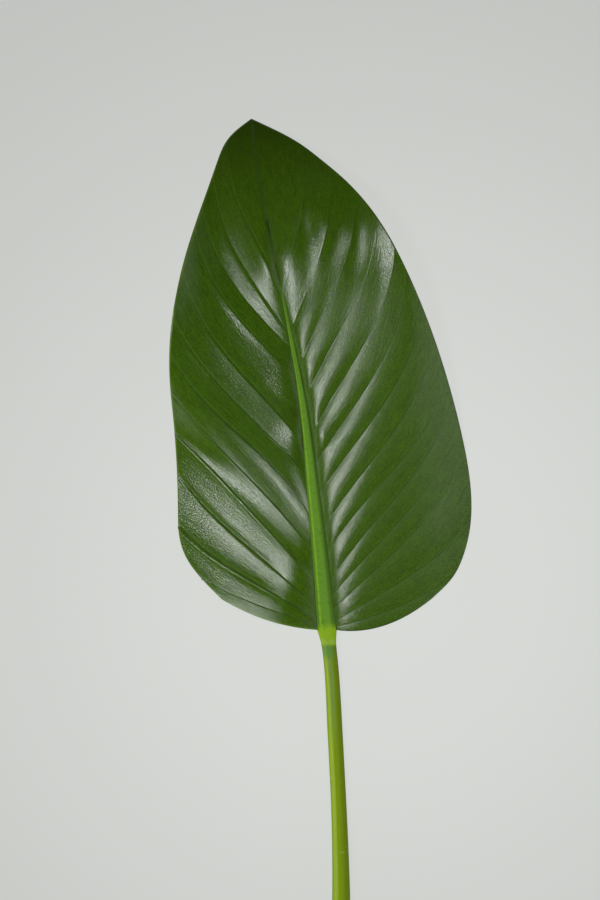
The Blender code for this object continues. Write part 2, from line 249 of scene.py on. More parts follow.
@dataclass(frozen=True)
class Half:
    """One half of the blade.

    side is +1 to the right and -1 to the left. margin holds points (x, y) of the edge from the lower
    corner to the tip. veins holds, for each side vein, y where it leaves the midrib and y where it
    ends on the margin. leave and arrive hold (vein number, heading in degrees from +Y). edge holds the
    height of the margin as (y, z). rise holds (vein number, slope along the vein beside the midrib).
    wall holds (y, rise, reach) of the wall beside the midrib. panels holds, for each panel between two
    veins, its height as a factor, the reach of that height from the midrib, the place of its highest
    line from vein to vein, the power of the rise up to it, where 0 is round, and the factor and place
    along the vein of a second bulge. folds holds sharp folds as (vein number, height, start along the
    vein). creases holds soft ridges, or furrows where the height is below zero, over a vein as (vein
    number, height, reach, start along the vein).
    """
    side: int
    margin: tuple
    veins: tuple
    leave: tuple
    arrive: tuple
    edge: tuple
    rise: tuple
    wall: tuple
    panels: tuple
    folds: tuple
    creases: tuple


RIGHT = Half(
    side=1,
    margin=((61.4, 18), (72.8, 29.3), (79.2, 41), (84.8, 70), (79.8, 110), (66.6, 157), (47.8, 204),
            (28.5, 239), (9.3, 262.3), (-4.1, 274.4), (-19.8, 286.4), (-44.2, 299)),
    veins=((0, 18), (1.5, 33), (4.5, 61), (12, 102), (19.5, 118), (28, 136), (44, 147), (59, 170),
           (79, 188), (97, 207), (113, 222), (134, 239), (152, 255), (174, 269), (195, 284), (216, 299)),
    leave=((0, 97), (1, 74), (2, 56), (3, 46), (4, 38), (5, 31), (6, 29), (8, 33), (9, 34), (10, 26),
           (12, 18), (13, 20), (14, 13), (15, -12)),
    arrive=((0, 52), (1, 52), (2, 42), (3, 25), (4, 21), (5, 14), (6, 14), (7, 9), (9, 4), (11, 1),
            (12, -5), (13, -7), (14, -18), (15, -4)),
    edge=((18, 4.6), (38, 2.6), (60, 1.8), (78, 0.57), (98, 2.1), (130, 7.5), (165, 16.5), (190, 23.5),
          (210, 27.3), (226, 28.2), (238, 26.8), (250, 23.0), (262, 17.5), (274, 11.5), (285, 6.5),
          (299, TIP_HEIGHT)),
    rise=((0, -0.02), (2, 0.05), (7, 0.15), (12, 0.14), (13, 0.10), (14, 0.05), (15, -0.07)),
    wall=((0, 2.8, 6.0), (20, 2.5, 4.0), (40, 2.4, 2.4), (160, 2.2, 2.2), (190, 0.4, 2.2),
          (SLOT_LENGTH, 0.0, 2.2)),
    panels=((0.6, 0.2, 0.5, 0, 0, 0), (0.6, 0.2, 0.5, 0, 0, 0), (0.8, 0.25, 0.5, 0, 0.2, 0.6),
            (0.5, 0.25, 0.5, 0, 0.2, 0.6), (1.3, 0.3, 0.45, 0, 0.2, 0.6), (1.3, 0.32, 0.5, 0, 0.2, 0.6),
            (1.5, 0.35, 0.4, 0, 0.2, 0.7), (1.4, 0.35, 0.5, 0, 0.2, 0.7), (1.5, 0.42, 0.5, 0, 0, 0),
            (1.5, 0.42, 0.45, 0, -0.4, 0.9), (1.5, 0.45, 0.45, 0, -1.0, 0.85),
            (1.2, 0.4, 0.5, 0, -1.1, 0.73), (1.2, 0.35, 0.5, 0, -1.2, 0.6), (0.5, 0.3, 0.5, 0, -0.8, 0.46),
            (0.2, 0.3, 0.5, 0, 0, 0)),
    folds=(),
    creases=(),
)
LEFT = Half(
    side=-1,
    margin=((-61.4, 18), (-81.6, 41), (-87.2, 70), (-89.5, 120), (-91.3, 151), (-89.1, 181), (-82.1, 215.5),
            (-71.6, 250.5), (-63.6, 274.6), (-54.8, 290.4), (-44.2, 299)),
    veins=((0, 18), (2, 30), (4.5, 61), (12, 92), (30, 115), (46.5, 137), (67, 160), (91, 179), (108, 208),
           (148, 233), (163, 244), (172, 264), (199, 284), (216, 299)),
    leave=((0, -84), (1, -68), (2, -52), (3, -42), (4, -44), (5, -37), (6, -29), (7, -42), (8, -37),
           (9, -47), (10, -44), (11, -34), (12, -27), (13, -12)),
    arrive=((0, -60), (1, -60), (2, -43), (3, -35), (4, -48), (5, -40), (6, -28), (7, -29), (8, -13),
            (9, -10), (10, -12), (11, -6), (12, 0), (13, -4)),
    edge=((18, 10.0), (30, 7.5), (41, 5.9), (62, 3.15), (86, 0.78), (108, 2.0), (118, 3.8), (128, 7.9),
          (138, 14.0), (150, 20.0), (165, 25.0), (185, 27.0), (200, 26.0), (215, 23.4), (230, 18.8),
          (245, 13.6), (262, 8.8), (275, 6.0), (289, 3.2), (299, TIP_HEIGHT)),
    rise=((0, 0.07), (1, 0.05), (2, 0.0), (3, -0.08), (4, -0.08), (5, -0.14), (6, -0.18), (7, -0.01),
          (8, 0.09), (9, 0.10), (10, -0.02), (11, 0.01), (12, 0.06), (13, -0.07)),
    wall=((0, 5.0, 12.0), (30, 5.6, 13.0), (60, 2.0, 7.0), (120, 0.6, 3.0), (140, 1.0, 6.0),
          (156, 2.2, 9.0), (167, 1.6, 8.0), (186, 0.5, 5.0), (SLOT_LENGTH, 0.0, 3.0)),
    panels=((0.9, 1.4, 0.95, 1.7, 0, 0), (2.8, 1.2, 0.92, 2, 0, 0), (1.6, 0.9, 0.93, 2, 0, 0),
            (1.2, 1.5, 0.93, 1.6, 0, 0), (1.7, 0.8, 0.97, 2, 0, 0), (1.6, 0.65, 0.97, 4, 0, 0),
            (0.6, 0.7, 0.95, 4, 0, 0), (0.3, 0.8, 0.95, 3, 0, 0), (0.12, 0.9, 0.97, 4, 0, 0),
            (0.4, 0.6, 0.9, 3, 0, 0), (1.6, 0.6, 0.7, 1.3, 0, 0), (0.8, 0.5, 0.84, 1.5, 0, 0),
            (0.4, 0.5, 0.5, 0, 0, 0)),
    folds=((3, 0.4, 0.35),),
    creases=((1, -0.10, 2.0, 0.35), (2, 0.30, 2.2, 0.25), (3, -0.35, 2.2, 0.2), (4, 0.25, 2.2, 0.15)),
)


class LeafSizes(PropertyGroup):
    """Sizes that a user may change."""
    thickness: FloatProperty(name="Blade thickness", description="Thickness of the sheet",
                             default=0.6 * MM, unit="LENGTH", precision=5)
    bulge: FloatProperty(name="Bulge", default=PANEL_BULGE,
                         description="Height of the blade between two veins, as a share of their gap")
    furrow: FloatProperty(name="Furrow", description="Depth of the narrow furrow over each side vein",
                          default=0.02 * MM, unit="LENGTH", precision=5)
    cells: IntProperty(name="Cells", description="Cells between two side veins", default=16)
    rows: IntProperty(name="Rows", description="Cells along a side vein", default=96)


class LeafColours(PropertyGroup):
    """Colours that a user may change."""
    blade: FloatVectorProperty(name="Blade", description="Upper side of the blade", subtype="COLOR",
                               default=(0.077, 0.178, 0.006))
    # Dark green of the tip, partly painted shade where the tip bends away; also the colour of the dark
    # streaks and patches
    blade_tip: FloatVectorProperty(name="Blade, tip", description="Darker green towards the tip",
                                   subtype="COLOR", default=(0.020, 0.040, 0.002))
    blade_pale: FloatVectorProperty(name="Blade, pale", description="Paler patches", subtype="COLOR",
                                    default=(0.085, 0.180, 0.010))
    underside: FloatVectorProperty(name="Underside", description="Matt lower side of the blade",
                                   subtype="COLOR", default=(0.105, 0.185, 0.055))
    midrib: FloatVectorProperty(name="Midrib", description="Upper side of the midrib", subtype="COLOR",
                                default=(0.165, 0.365, 0.030))
    stalk: FloatVectorProperty(name="Stalk", description="Yellow-green flank of the stalk", subtype="COLOR",
                               default=(0.290, 0.455, 0.005))
    # Painted light: the lighter band on the stalk's lit left side
    stalk_lit_band: FloatVectorProperty(name="Stalk, pale", description="Light band on the left of the stalk",
                                    subtype="COLOR", default=(0.480, 0.640, 0.090))
    # Painted shade: the stalk's olive right flank, away from the light
    stalk_shaded_olive: FloatVectorProperty(name="Stalk, dark", description="Olive flank of the stalk",
                                    subtype="COLOR", default=(0.165, 0.250, 0.003))
    joint: FloatVectorProperty(name="Joint", description="Swollen joint below the blade", subtype="COLOR",
                               default=(0.330, 0.560, 0.016))
    floor: FloatVectorProperty(name="Floor", description="Pale surface under the leaf", subtype="COLOR",
                               default=(0.050, 0.050, 0.050))
    # Painted light: the floor glows, brightest round the lower blade, and washes out the leaf's shadow
    glow: FloatVectorProperty(name="Glow", description="Light through the floor round the blade",
                              subtype="COLOR", default=(0.648, 0.668, 0.638))
    glow_edge: FloatVectorProperty(name="Glow, edge", subtype="COLOR", default=(0.503, 0.513, 0.493),
                                   description="Light through the floor far from the blade")


class Wire:
    """A number in a shader. An expression on it adds Math nodes."""

    def __init__(self, finish, socket):
        self.finish = finish
        self.socket = socket

    def _math(self, operation, first, second):
        return self.finish.node("Math", {"operation": operation}, {0: first, 1: second})

    def __add__(self, other):
        return self._math("ADD", self, other)

    def __radd__(self, other):
        return self._math("ADD", other, self)

    def __sub__(self, other):
        return self._math("SUBTRACT", self, other)

    def __rsub__(self, other):
        return self._math("SUBTRACT", other, self)

    def __mul__(self, other):
        return self._math("MULTIPLY", self, other)

    def __rmul__(self, other):
        return self._math("MULTIPLY", other, self)


class Nodes:
    """A node tree under construction."""

    def __init__(self, tree):
        self.tree = tree

    def node(self, kind, settings=None, sockets=None, out=0):
        """A node of that kind: its settings first, then the values or links of its sockets."""
        made = self.tree.nodes.new("ShaderNode" + kind)
        for key, value in (settings or {}).items():
            setattr(made, key, value)
        for key, value in (sockets or {}).items():
            self.feed(made.inputs[key], value)
        return Wire(self, made.outputs[out])

    def feed(self, socket, value):
        """Link a number or colour to a socket, or write it there."""
        if isinstance(value, Wire):
            self.tree.links.new(value.socket, socket)
        elif socket.type == "RGBA" and len(value) == 3:
            socket.default_value = (*value, 1)
        else:
            socket.default_value = value

    def step(self, value, low, high):
        """Smooth step from 0 at low to 1 at high."""
        return self.node("MapRange", {"interpolation_type": "SMOOTHSTEP"},
                         {"Value": value, "From Min": low, "From Max": high})

    def band(self, value, rise, fall):
        """1 between two smooth steps: up over the span rise and down over the span fall."""
        return self.step(value, *rise) * (1 - self.step(value, *fall))


class Finish(Nodes):
    """A material under construction."""

    def __init__(self, name, roughness=0.5, specular=0.5):
        self.material = bpy.data.materials.new(name)
        self.material.use_nodes = True
        super().__init__(self.material.node_tree)
        self.shader = self.tree.nodes["Principled BSDF"]
        self.shader.inputs["Roughness"].default_value = roughness
        self.shader.inputs["Specular IOR Level"].default_value = specular

    def value(self, name):
        """A number stored on the mesh."""
        return self.node("Attribute", {"attribute_name": name}, out="Fac")

    def place(self):
        """Object coordinates, in metres."""
        return self.node("TexCoord", out="Object")

    def noise(self, vector, scale, detail, roughness):
        """Noise from 0 to 1 round 0.5."""
        return self.node("TexNoise", None, {"Vector": vector, "Scale": scale, "Detail": detail,
                                            "Roughness": roughness})

    def vector(self, x, y, z=0.0):
        """A place made of numbers."""
        return self.node("CombineXYZ", None, {0: x, 1: y, 2: z})

    def mix(self, share, first, second):
        """First colour at share 0, second at share 1."""
        return self.node("Mix", {"data_type": "RGBA"}, {0: share, 6: first, 7: second}, out=2)

    def cover(self, colour, *layers):
        """A colour with others laid over it in order, each given as (share, colour)."""
        for share, layer in layers:
            colour = self.mix(share, colour, layer)
        return colour

    def spread(self, value, least, most, low=0.0, high=1.0):
        """A number whose span from low to high is spread from least to most."""
        return self.node("MapRange", None, {"Value": value, "From Min": low, "From Max": high,
                                            "To Min": least, "To Max": most})

    def bump(self, height, distance, normal=None):
        """Relief of that height in metres, added to a normal if there is one."""
        sockets = {"Height": height, "Distance": distance, "Strength": 1.0}
        if normal is not None:
            sockets["Normal"] = normal
        return self.node("Bump", None, sockets)

    def use(self, **values):
        """Links or values of the shader's own sockets."""
        for name, value in values.items():
            self.feed(self.shader.inputs[name.replace("_", " ")], value)
        return self.material


def spline(points, at, column=1, key=0):
    """Natural cubic spline through the points' column, as a function of their key column."""
    rows = np.array(sorted(points, key=lambda row: row[key]), float)
    knots, values = rows[:, key], rows[:, column]
    steps, count = np.diff(knots), len(knots)
    system, bends = np.eye(count), np.zeros(count)
    for i in range(1, count - 1):
        system[i, i - 1:i + 2] = steps[i - 1], 2 * (steps[i - 1] + steps[i]), steps[i]
    bends[1:-1] = 6 * np.diff(np.diff(values) / steps)
    bends = np.linalg.solve(system, bends)
    i = np.clip(np.searchsorted(knots, at) - 1, 0, count - 2)
    before, after, step = at - knots[i], knots[i + 1] - at, steps[i]
    cubic = (bends[i] * after ** 3 + bends[i + 1] * before ** 3) / (6 * step)
    return cubic + (values[i] / step - bends[i] * step / 6) * after \
        + (values[i + 1] / step - bends[i + 1] * step / 6) * before


def axis_x(y):
    """Sideways place of the midrib and stalk at y, a spline through the middle line."""
    return spline(AXIS, y, column=0, key=1)


def rib_half_width(y):
    """Half the width of the midrib, a power of the way left to its end."""
    return RIB_HALF_WIDTH * np.clip(1 - y / SLOT_LENGTH, 0, 1) ** RIB_TAPER


def slot_half_width(y):
    """Half the width of the slot in the blade, a little less than the midrib that covers its edges."""
    return np.maximum(rib_half_width(y) - RIB_TUCK, 0)


def junction():
    """Where the junction of stalk and blade is in the frame, in metres, worked out from the stalk's box."""
    low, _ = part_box("petiole_midrib")
    left_end = axis_x(RIB_LENGTH) - rib_half_width(RIB_LENGTH)
    return np.array([low.x - left_end * MM, low.y - STALK_END * MM, 0.0])


def to_frame(points):
    """Points in metres in the frame, from millimetres round the junction."""
    return points * MM + junction()


def vein_numbers(half, cells):
    """Vein number of each curve of the family, with cells curves to a panel.

    A sine taken from the even numbers draws the curves closer beside the veins.
    """
    last = len(half.veins) - 1
    number = np.linspace(0, last, last * cells + 1)
    return number - CELL_CROWDING * np.sin(2 * np.pi * number) / (2 * np.pi)


def vein_plan(half, number, rows):
    """Plan of one half as an array [curve, step along it, xy].

    Each vein is a Bezier curve with its two headings. Curves between two veins take ends and headings
    that run evenly from one vein to the next.
    """
    numbers = np.arange(len(half.veins))
    leave_y, arrive_y = (np.interp(number, numbers, ends) for ends in np.array(half.veins, float).T)
    leave, arrive = (np.radians(np.interp(number, *zip(*pairs))) for pairs in (half.leave, half.arrive))
    start = np.stack([axis_x(leave_y) + half.side * slot_half_width(leave_y), leave_y], -1)
    end = np.stack([spline(half.margin, arrive_y, column=0, key=1), arrive_y], -1)
    reach = VEIN_HANDLE * np.linalg.norm(end - start, axis=1)[:, None]
    near = start + reach * np.stack([np.sin(leave), np.cos(leave)], -1)
    far = end - reach * np.stack([np.sin(arrive), np.cos(arrive)], -1)
    t = np.linspace(0, 1, rows + 1)[None, :, None]
    start, near, far, end = (point[:, None, :] for point in (start, near, far, end))
    return (1 - t) ** 3 * start + 3 * (1 - t) ** 2 * t * near + 3 * (1 - t) * t ** 2 * far + t ** 3 * end


def panel_widths(half, number, rows):
    """Distance between the two veins of a panel, across them, for each curve and step.

    It is the part of the gap between them at right angles to the first, and it runs evenly from the
    middle of one panel to the middle of the next.
    """
    veins = vein_plan(half, np.arange(len(half.veins)), rows)
    run = np.gradient(veins, axis=1)
    run /= np.linalg.norm(run, axis=2, keepdims=True)
    gap = np.diff(veins, axis=0)
    width = np.abs(gap[..., 0] * run[:-1, :, 1] - gap[..., 1] * run[:-1, :, 0])
    middle = np.arange(len(width)) + 0.5
    below = np.clip(number - 0.5, 0, middle[-1] - 0.5)
    first = below.astype(int)
    share = (below - first)[:, None]
    return width[first] * (1 - share) + width[np.minimum(first + 1, len(width) - 1)] * share


def fold_heights(half, number, t):
    """Sharp folds: the blade stands up on the tip side of such a vein and sinks on its other side.

    Each is a tanh across its vein times a fall to both sides. It grows along the vein from its start and
    fades out at the margin.
    """
    total = np.zeros(np.broadcast(number, t).shape)
    for vein, height, begins in half.folds:
        beside = number - vein
        grows = np.clip((t - begins) / FOLD_GROWTH, 0, 1) * np.clip((FOLD_END - t) / FOLD_FADE, 0, 1)
        total += height * grows * np.tanh(beside / FOLD_STEEPNESS) * np.exp(-np.abs(beside) / FOLD_REACH)
    return total


def crease_heights(half, number, t, width):
    """Soft ridges and furrows over single veins, each a bell across its vein that fades to the margin."""
    total = np.zeros(width.shape)
    for vein, height, reach, begins in half.creases:
        away = (number - vein) * width / reach
        grows = np.clip((t - begins) / CREASE_GROWTH, 0, 1) * (1 - t ** CREASE_END_POWER)
        total += height * np.exp(-away ** 2) * grows
    return total


def panel_profile(across, peak, power):
    """Height from vein to vein: a rise to the highest line and a parabola down from it.

    The rise is a power of the way to the highest line, or at power 0 a parabola that rounds off there.
    """
    up, down = across / peak, (across - peak) / (1 - peak)
    rise = np.where(power == 0, 1 - (1 - up) ** 2, up ** np.maximum(power, 1))
    return np.where(across < peak, rise, 1 - down ** 2)


def swell_heights(plan):
    """Height of the broad swells and dips, each a bell over its own ellipse."""
    total = np.zeros(plan.shape[:2])
    for x, y, reach_x, reach_y, height in SWELLS:
        away = ((plan[..., 0] - x) / reach_x) ** 2 + ((plan[..., 1] - y) / reach_y) ** 2
        total += height * np.exp(-away)
    return total


def blade_heights(half, plan, number, sizes):
    """Height of the upper side, and the distances to the nearest vein and to the midrib.

    Along each vein it rises from the keel with its own slope and turns over to the margin's height.
    Added to that are the channel's walls beside the midrib, and in each panel a bulge from vein to vein
    whose height is a set share of their gap. The bulge fades along the veins, and a second one is a bell
    round its own place along them. A narrow furrow over each vein, the sharp folds, the soft creases and
    the broad swells and dips are added too.
    """
    start, end = plan[:, :1], plan[:, -1:]
    t = np.linspace(0, 1, plan.shape[1])[None, :]
    keel = spline(KEEL, start[..., 1])
    margin = spline(half.edge, end[..., 1])
    slope = np.interp(number, *zip(*half.rise))[:, None]
    length = np.linalg.norm(end - start, axis=2)
    arch = keel + slope * length * t * (1 - t) + (margin - keel) * t ** 2
    beside = np.abs(plan[..., 0] - axis_x(plan[..., 1])) - slot_half_width(plan[..., 1])
    wall_rise, wall_reach = (np.interp(start[..., 1], *zip(*pairs)) for pairs in
                             ([row[:2] for row in half.wall], [row[::2] for row in half.wall]))
    wall = wall_rise * (1 - np.exp(-np.maximum(beside, 0) / wall_reach)) * (1 - t ** 2)
    width = panel_widths(half, number, plan.shape[1] - 1)
    across = (number % 1)[:, None]
    panel = np.minimum(number.astype(int), len(half.panels) - 1)
    factor, reach, peak, power, outer, place = np.array(half.panels, float)[panel].T[:, :, None]
    fade = (1 - np.exp(-t / BULGE_START)) * factor * np.exp(-(t / reach) ** BULGE_END_POWER) \
        + outer * np.exp(-((t - place) / SECOND_REACH) ** 2)
    dome = panel_profile(across, peak, power) * width
    from_vein = np.minimum(across, 1 - across) * width
    furrow = -sizes.furrow / MM * np.exp(-(from_vein / FURROW_REACH) ** 2) \
        * np.clip(beside / FURROW_START, 0, 1)
    swell = swell_heights(plan) * (1 - np.exp(-np.maximum(beside, 0) / SWELL_START))
    sag = fold_heights(half, number[:, None], t) + crease_heights(half, number[:, None], t, width) + swell
    height = arch + wall + fade * sizes.bulge * dome + furrow * (1 - t ** FURROW_END_POWER) + sag
    return height, from_vein, beside


def crest_weight(plan):
    """Share of the extra thickness that carries the midrib on under the fold, beyond the slot.

    It is a bell across the fold that grows over the end of the slot and falls evenly to the tip.
    """
    x, y = plan[..., 0], plan[..., 1]
    beyond = np.clip((y - SLOT_LENGTH + CREST_GROWTH) / CREST_GROWTH, 0, 1) \
        * np.clip((BLADE_LENGTH - y) / CREST_FADE, 0, 1)
    return beyond * np.exp(-((x - axis_x(y)) / CREST_REACH) ** 2)


def crest_line(plan):
    """A bell across the fold beyond the midrib: 1 on the fold itself, from its start to the tip."""
    x, y = plan[..., 0], plan[..., 1]
    grows = np.clip((y - RIB_LENGTH) / CREST_LINE_GROWTH, 0, 1)
    return grows * np.exp(-((x - axis_x(y)) / CREST_LINE) ** 2)


def distance_to_line(points, line):
    """Distance in plan from each point to the nearest point of a closely drawn line, part by part."""
    nearest = np.full(len(points), np.inf)
    for part in np.array_split(line, LINE_PARTS):
        gap = points[:, None, :] - part[None, :, :]
        nearest = np.minimum(nearest, np.sqrt((gap ** 2).sum(2)).min(1))
    return nearest


def grid_faces(rows, columns, flip=False, closed=False):
    """Quads of a grid of rows times columns. A closed grid also joins its last column to its first."""
    corner = np.arange(rows * columns).reshape(rows, columns)
    if closed:
        corner = np.hstack([corner, corner[:, :1]])
    quads = np.stack([corner[:-1, :-1], corner[:-1, 1:], corner[1:, 1:], corner[1:, :-1]], -1)
    quads = quads.reshape(-1, 4)
    return quads[:, ::-1] if flip else quads


def add_piece(name, points, faces, materials, node, values, merge=False):
    """A mesh in the frame that rides on the root body for a node, with numbers stored at its points."""
    mesh = bpy.data.meshes.new(name)
    mesh.from_pydata(to_frame(points).tolist(), [], [face.tolist() for face in faces])
    for key, numbers in values.items():
        mesh.attributes.new(key, "FLOAT", "POINT").data.foreach_set("value", np.ravel(numbers))
    for material in materials:
        mesh.materials.append(material)
    if merge:
        shape = bmesh.new()
        shape.from_mesh(mesh)
        bmesh.ops.remove_doubles(shape, verts=shape.verts, dist=MERGE_DISTANCE * MM)
        shape.to_mesh(mesh)
        shape.free()
    mesh.shade_smooth()
    piece = bpy.data.objects.new(name, mesh)
    bpy.context.scene.collection.objects.link(piece)
    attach(piece, "root")
    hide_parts(node)
    return piece


def blade_finish(colours):
    """Waxy dark green, darker to the tip (partly painted shade), mottled, with a sandy grain and a soft
    sheen.

    Light and dark streaks, a dark line of painted shade along each vein and a pale painted highlight on
    the flank above it follow the veins. The left half is a deeper green in its middle and has a paler rim.
    The right half has a pale painted sheen that grows across each panel, and a dark line along its margin.
    The fold beyond the midrib is a dark line of painted shade too, and so is the band beside the midrib.
    """
    made = Finish("leaf upper side", specular=0.38)
    place = made.place()
    vein, step, half, gap = (made.value(name) for name in ("vein", "step", "half", "gap"))
    tip, margin, beside, fold = (made.value(name) for name in ("tip", "margin", "beside", "fold"))
    streak = made.noise(made.vector(vein, step * STREAK_STRETCH, half), *STREAK)
    fine = made.noise(made.vector(vein, step * FINE_STRETCH, half), *FINE_STREAK)
    cloud, patch, grain, pebble = (made.noise(place, *noise) for noise in (CLOUD, PATCH, GRAIN, PEBBLE))
    left = made.step(half * -1, 0, 1)
    right = 1 - left
    pale = made.step(cloud * 0.6 + streak * 0.4, 0.35, 0.68) * (1 - tip * 0.8)
    deep = left * made.band(vein, (5.0, 6.5), (9.0, 11.5))
    dark_streak = made.step(streak * 0.45 + fine * 0.35 + pebble * 0.2, 0.44, 0.60)
    light_streak = made.step(fine * 0.5 + pebble * 0.5, 0.54, 0.68) * (1 - tip * 0.6)
    # Painted shade: darker in the narrow line over each vein, where shade falls
    crease_shade = (1 - made.step(gap, 0.15, 0.75)) * made.band(step, (0.02, 0.1), (0.75, 1.0))
    across = made.node("Math", {"operation": "FRACT"}, {0: vein})
    # Painted highlight: a pale band on one flank of each vein, where sheen falls
    above = (1 - made.step(across, 0.3, 0.5)) * (0.4 + left * 0.6)
    flank = above * made.band(gap, (0.6, 1.0), (1.2, 2.0)) * made.step(step, 0.1, 0.3) * (1 - tip)
    # Painted sheen over the right half, growing across each panel towards the next vein
    sheen_veil = right * (1 - made.step(vein, 8.5, 12.0)) * (1 - made.step(step, 0.7, 1.0))
    left_rim = (1 - made.step(margin, 0.5, 1.6)) * left * (1 - tip)
    right_line = (1 - made.step(margin, 0.2, 0.9)) * right
    colour = made.cover(
        # The base runs to the darker green at the tip: partly painted shade where the tip bends away from
        # the light
        made.mix(tip, colours.blade, colours.blade_tip),
        (pale * 0.35, colours.blade_pale),
        (deep * 0.35, DEEP_GREEN),
        (dark_streak * 0.50, colours.blade_tip),
        (light_streak * 0.36, LIGHT_STREAK),
        (made.step(grain, 0.42, 0.62) * 0.48, DARK_SPECK),
        (made.step(patch, 0.45, 0.8) * 0.25, colours.blade_tip),
        (crease_shade * 0.4, VEIN_CREASE_SHADE),
        (flank * 0.34, VEIN_FLANK_HIGHLIGHT),
        (sheen_veil * (0.08 + across * across * 0.30), PAINTED_SHEEN_VEIL),
        # Painted shade in the groove beside the midrib
        ((1 - made.step(beside, 0.2, 1.8)) * 0.5, MIDRIB_GROOVE_SHADE),
        (left_rim * 0.7, LEFT_RIM),
        (right_line * 0.6, RIGHT_LINE),
        # Painted shade along the fold beyond the midrib
        (fold * 0.35, FOLD_PAINTED_SHADE))
    rough = made.spread(grain * 0.5 + pebble * 0.2 + streak * 0.3, *BLADE_ROUGHNESS, low=0.38, high=0.62)
    relief = made.bump(grain * 0.75 + pebble * 0.25, GRAIN_RELIEF * MM)
    relief = made.bump(fine, FINE_RELIEF * MM, relief)
    relief = made.bump(streak, STREAK_RELIEF * MM, relief)
    return made.use(Base_Color=colour, Roughness=rough + fold * 0.1, Normal=relief)


def underside_finish(colours):
    """Matt pale green with darker patches and paler veins."""
    made = Finish("leaf underside", roughness=0.62, specular=0.35)
    cloud, grain = (made.noise(made.place(), *noise) for noise in (UNDERSIDE_CLOUD, UNDERSIDE_GRAIN))
    vein = 1 - made.step(made.value("gap"), 0.2, 1.2)
    colour = made.cover(colours.underside, (made.step(cloud, 0.3, 0.7) * 0.5, UNDERSIDE_PATCH),
                        (vein * 0.6, UNDERSIDE_VEIN))
    return made.use(Base_Color=colour, Normal=made.bump(grain, UNDERSIDE_RELIEF * MM))


def edge_finish():
    """Thin pale edge of the sheet, a little mottled."""
    made = Finish("leaf edge", roughness=0.5, specular=0.4)
    return made.use(Base_Color=made.mix(made.noise(made.place(), *EDGE_CLOUD), EDGE_PALE, EDGE_DARK))


def half_surface(half, sizes):
    """Points and faces of one half of the sheet, and the numbers stored at the points.

    These are the vein number, the step along the vein, the half's side, the distances to the margin, to
    the nearest vein and to the midrib, the line of the fold beyond the midrib, the share of the tip's
    green and the share of the crest's thickness.
    """
    number = vein_numbers(half, sizes.cells)
    plan = vein_plan(half, number, sizes.rows)
    height, from_vein, beside = blade_heights(half, plan, number, sizes)
    y = plan[..., 1]
    least = sizes.thickness / (CREST_THICKNESS * MM)
    values = {
        "vein": np.broadcast_to(number[:, None], height.shape),
        "step": np.broadcast_to(np.linspace(0, 1, sizes.rows + 1), height.shape),
        "half": np.full(height.shape, float(half.side)),
        "margin": distance_to_line(plan.reshape(-1, 2), np.vstack([plan[0], plan[:, -1]])),
        "gap": from_vein,
        "beside": beside + np.maximum(y - RIB_SHADE_END, 0) * RIB_SHADE_FADE,
        "fold": crest_line(plan),
        "tip": np.clip((y - TIP_DARK_START) / (BLADE_LENGTH - TIP_DARK_START), 0, 1) ** 2,
        "sheet": least + (1 - least) * crest_weight(plan),
    }
    points = np.dstack([plan, height]).reshape(-1, 3)
    faces = grid_faces(*height.shape, flip=half.side < 0)
    return points, faces, {key: np.ravel(numbers) for key, numbers in values.items()}


def give_wall(piece):
    """A wall below the sheet. Each point's number says what share of the crest's thickness it has."""
    shares = np.empty(len(piece.data.vertices), np.float32)
    piece.data.attributes["sheet"].data.foreach_get("value", shares)
    levels = np.round(shares * SHEET_LEVELS).astype(int)
    group = piece.vertex_groups.new(name="sheet")
    for level in np.unique(levels).tolist():
        group.add(np.flatnonzero(levels == level).tolist(), level / SHEET_LEVELS, "REPLACE")
    wall = piece.modifiers.new("wall", "SOLIDIFY")
    wall.thickness = CREST_THICKNESS * MM
    wall.offset = -1
    wall.vertex_group = group.name
    wall.material_offset = 1
    wall.material_offset_rim = 2


class LEAF_OT_blade(Operator):
    """Build the blade as one closed sheet."""
    bl_idname = "leaf.blade"
    bl_label = "Blade"

    def execute(self, context):
        sizes, colours = context.scene.leaf_sizes, context.scene.leaf_colours
        points, faces, values = zip(*(half_surface(half, sizes) for half in (RIGHT, LEFT)))
        faces = np.vstack([faces[0], faces[1] + len(points[0])])
        joined = {key: np.concatenate([one[key] for one in values]) for key in values[0]}
        finishes = [blade_finish(colours), underside_finish(colours), edge_finish()]
        piece = add_piece("leaf_blade", np.vstack(points), faces, finishes, "blade", joined,
                          merge=True)
        give_wall(piece)
        return {"FINISHED"}


def stalk_profile(y):
    """Half width, top, widest level, bottom and channel depth at y, for the stalk and for the midrib.

    The stalk's are splines through its sections. The midrib's width is a power of the way left and ends
    in a thin tip, its top follows the keel with a low crown, and its depth shrinks evenly.
    """
    stalk = [spline(STALK, y, column=column) for column in range(1, 6)]
    keel = spline(KEEL, np.minimum(y, SLOT_LENGTH)) - KEEL_FALL * np.maximum(y - SLOT_LENGTH, 0)
    depth = RIB_DEPTH_END + (RIB_DEPTH_BASE - RIB_DEPTH_END) * np.clip(1 - y / RIB_LENGTH, 0, 1)
    tip_width = RIB_TIP_HALF_WIDTH * np.clip((RIB_TIP - y) / RIB_TIP_TAPER, 0, 1)
    width = np.maximum(rib_half_width(y), tip_width)
    crown = RIB_CROWN * np.clip(width / RIB_CROWN_WIDTH, RIB_CROWN_LEAST, 1)
    rib = [width, keel + crown, keel - RIB_SHOULDER, keel - depth, np.full_like(y, RIB_CHANNEL)]
    return [np.where(y < 0, one, other) for one, other in zip(stalk, rib)]


